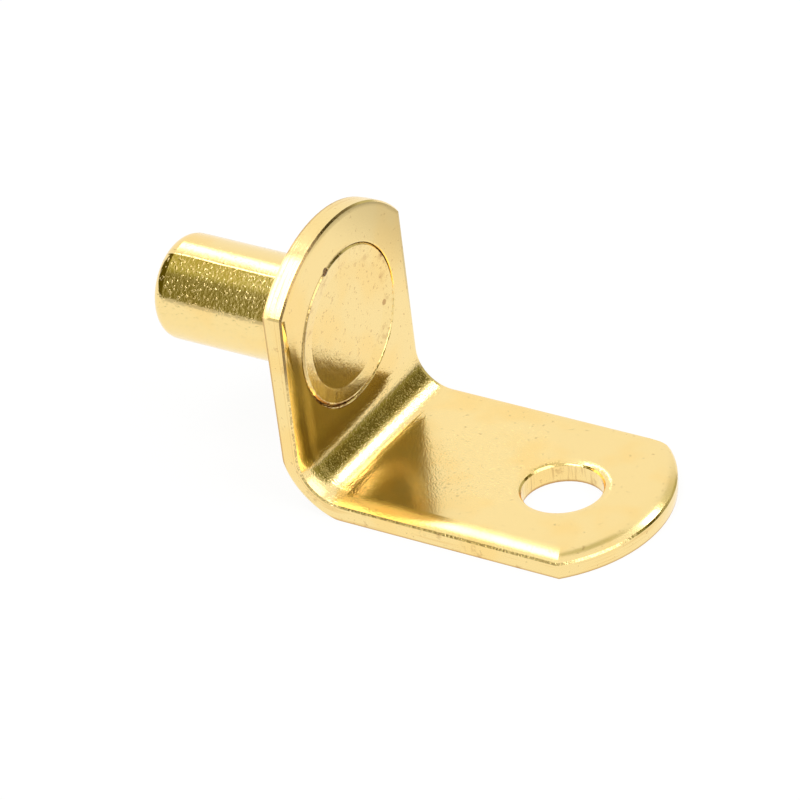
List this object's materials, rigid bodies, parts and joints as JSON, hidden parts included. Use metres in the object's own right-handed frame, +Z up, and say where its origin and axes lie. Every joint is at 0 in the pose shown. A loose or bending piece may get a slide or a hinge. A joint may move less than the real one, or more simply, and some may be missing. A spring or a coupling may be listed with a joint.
{
  "type": "shelf support pin",
  "caption": "Bent metal shelf support: an upright flange with a headed peg for a cabinet hole, and a level plate with a screw hole under the shelf.",
  "frame": {"origin": "where the peg's axis meets the wall-side face of the flange", "axes": "+X from the cabinet wall out along the plate, so the peg points along -X; +Y across the strip; +Z up, towards the shelf that lies on the plate"},
  "size_m": [0.0312, 0.0126, 0.0161],
  "materials": {
    "bracket_plating": "bright polished brass plating on steel",
    "peg_plating": "bright brass plating over a slightly grainy steel peg"
  },
  "bodies": {
    "root": {"angle_bracket": "bracket_plating", "headed_peg": "peg_plating"}
  },
  "joints": []
}
